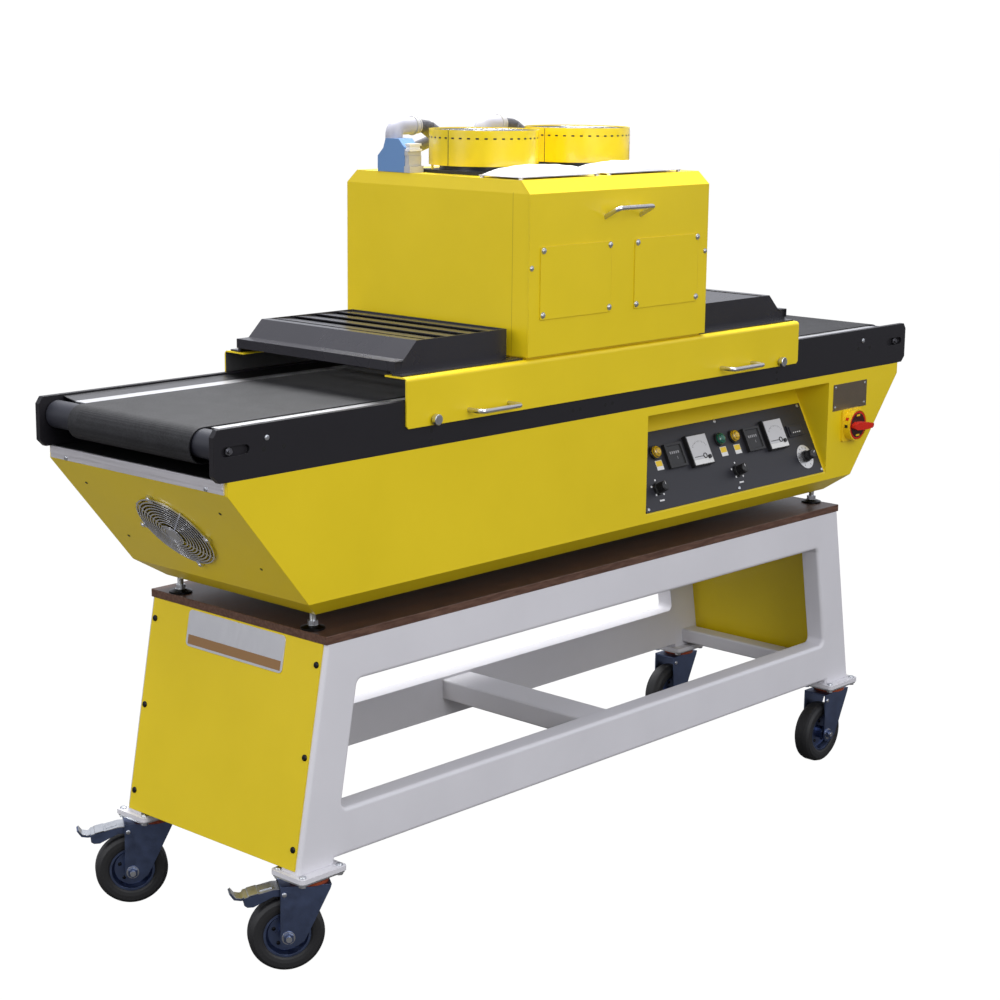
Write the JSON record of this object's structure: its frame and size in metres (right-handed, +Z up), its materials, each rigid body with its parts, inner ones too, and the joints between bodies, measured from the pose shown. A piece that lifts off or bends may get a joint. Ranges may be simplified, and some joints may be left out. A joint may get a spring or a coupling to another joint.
{
  "type": "uv curing dryer",
  "caption": "Belt dryer with a yellow UV lamp house over a black side-plated conveyor, control panel in a sloped cabinet, on a white trolley stand with swivel castors.",
  "frame": {"origin": "on the floor under the middle of the stand", "axes": "+X along the belt from the end with the fan to the far end, -Y towards the side with the controls, +Z up"},
  "size_m": [1.89, 0.5459, 1.3455],
  "materials": {
    "white_paint": "smooth powder coat",
    "yellow_paint": "fine-textured powder coat",
    "black_paint": "fine-textured powder coat",
    "board_ply": "film-faced plywood, pale cut edge",
    "zinc": "zinc plated",
    "tyre_rubber": "matt",
    "aluminium_strip": "satin",
    "chrome_wire": "polished",
    "bright_steel": "ground",
    "black_plastic": "satin",
    "meter_face": "satin",
    "lamp_lens": "clear",
    "switch_yellow": "satin",
    "switch_red": "satin",
    "belt_mesh": "coated glass mesh",
    "filter_cloth": "loose white fleece",
    "blue_plastic": "satin",
    "grey_hose": "satin"
  },
  "bodies": {
    "dryer": {"back_frame": "white_paint", "back_side_plate": "black_paint", "back_skirt": "yellow_paint", "belt": "belt_mesh", "cabinet": "yellow_paint", "castor_top_plates": "zinc", "control_panel": "black_paint", "end_fan": "black_paint", "end_fan_guard": "chrome_wire", "end_rollers": "bright_steel", "end_trims": "aluminium_strip", "fan_guards": "black_paint", "fan_shrouds": "yellow_paint", "filter_frames": "aluminium_strip", "foot_plates": "white_paint", "front_frame": "white_paint", "front_side_plate": "black_paint", "front_skirt": "yellow_paint", "hoses": "grey_hose", "hour_counters": "black_plastic", "house_front_cover": "yellow_paint", "house_handle": "chrome_wire", "lamp_house": "yellow_paint", "left_end_panel": "yellow_paint", "left_filter_pad": "filter_cloth", "left_tunnel_cover": "black_paint", "levelling_feet": "zinc", "panel_meters": "meter_face", "pilot_lamps": "lamp_lens", "plug_elbows": "grey_hose", "plug_hoods": "blue_plastic", "right_end_panel": "yellow_paint", "right_filter_pad": "filter_cloth", "right_tunnel_cover": "black_paint", "roof_fans": "black_paint", "skirt_handles": "chrome_wire", "slider_bed": "bright_steel", "stand_crossbars": "white_paint", "switch_base": "switch_yellow", "tabletop": "board_ply", "thumb_knobs": "bright_steel"},
    "front_left_castor": {"front_left_fork": "zinc"},
    "front_left_wheel_set": {"front_left_wheel": "zinc", "front_left_tyre": "tyre_rubber"},
    "front_left_pedal": {"front_left_brake_pedal": "zinc"},
    "back_left_castor": {"back_left_fork": "zinc"},
    "back_left_wheel_set": {"back_left_wheel": "zinc", "back_left_tyre": "tyre_rubber"},
    "back_left_pedal": {"back_left_brake_pedal": "zinc"},
    "front_right_castor": {"front_right_fork": "zinc"},
    "front_right_wheel_set": {"front_right_wheel": "zinc", "front_right_tyre": "tyre_rubber"},
    "back_right_castor": {"back_right_fork": "zinc"},
    "back_right_wheel_set": {"back_right_wheel": "zinc", "back_right_tyre": "tyre_rubber"},
    "main_switch_handle": {"switch_handle": "switch_red"},
    "left_selector": {"left_selector_knob": "black_plastic"},
    "middle_selector": {"middle_selector_knob": "black_plastic"},
    "belt_speed": {"speed_knob": "black_plastic"}
  },
  "joints": [
    {"name": "front_left_swivel", "type": "hinge", "parent": "dryer", "child": "front_left_castor", "pos_m": [-0.744, -0.201, 0.1475], "axis": [0, 0, 1], "continuous": true},
    {"name": "front_left_roll", "type": "hinge", "parent": "front_left_castor", "child": "front_left_wheel_set", "pos_m": [-0.7755, -0.17975, 0.0625], "axis": [-0.5592, -0.829, 0], "continuous": true},
    {"name": "front_left_brake", "type": "hinge", "parent": "front_left_castor", "child": "front_left_pedal", "pos_m": [-0.78048, -0.1764, 0.136], "axis": [-0.5592, -0.829, 0], "range_deg": [0, 7]},
    {"name": "back_left_swivel", "type": "hinge", "parent": "dryer", "child": "back_left_castor", "pos_m": [-0.744, 0.201, 0.1475], "axis": [0, 0, 1], "continuous": true},
    {"name": "back_left_roll", "type": "hinge", "parent": "back_left_castor", "child": "back_left_wheel_set", "pos_m": [-0.7755, 0.22225, 0.0625], "axis": [-0.5592, -0.829, 0], "continuous": true},
    {"name": "back_left_brake", "type": "hinge", "parent": "back_left_castor", "child": "back_left_pedal", "pos_m": [-0.78048, 0.2256, 0.136], "axis": [-0.5592, -0.829, 0], "range_deg": [0, 7]},
    {"name": "front_right_swivel", "type": "hinge", "parent": "dryer", "child": "front_right_castor", "pos_m": [0.744, -0.201, 0.1475], "axis": [0, 0, 1], "continuous": true},
    {"name": "front_right_roll", "type": "hinge", "parent": "front_right_castor", "child": "front_right_wheel_set", "pos_m": [0.706, -0.201, 0.0625], "axis": [0, -1, 0], "continuous": true},
    {"name": "back_right_swivel", "type": "hinge", "parent": "dryer", "child": "back_right_castor", "pos_m": [0.744, 0.201, 0.1475], "axis": [0, 0, 1], "continuous": true},
    {"name": "back_right_roll", "type": "hinge", "parent": "back_right_castor", "child": "back_right_wheel_set", "pos_m": [0.706, 0.201, 0.0625], "axis": [0, -1, 0], "continuous": true},
    {"name": "main_switch", "type": "hinge", "parent": "dryer", "child": "main_switch_handle", "pos_m": [0.749, -0.22, 0.7185], "axis": [0, -1, 0], "range_deg": [0, 90]},
    {"name": "left_selector_turn", "type": "hinge", "parent": "dryer", "child": "left_selector", "pos_m": [0.136, -0.20534, 0.66808], "axis": [0, -0.8925, 0.451], "range_deg": [-60, 60]},
    {"name": "middle_selector_turn", "type": "hinge", "parent": "dryer", "child": "middle_selector", "pos_m": [0.385, -0.20534, 0.66808], "axis": [0, -0.8925, 0.451], "range_deg": [-60, 60]},
    {"name": "belt_speed_turn", "type": "hinge", "parent": "dryer", "child": "belt_speed", "pos_m": [0.615, -0.20624, 0.66629], "axis": [0, -0.8925, 0.451], "range_deg": [-135, 135]}
  ]
}
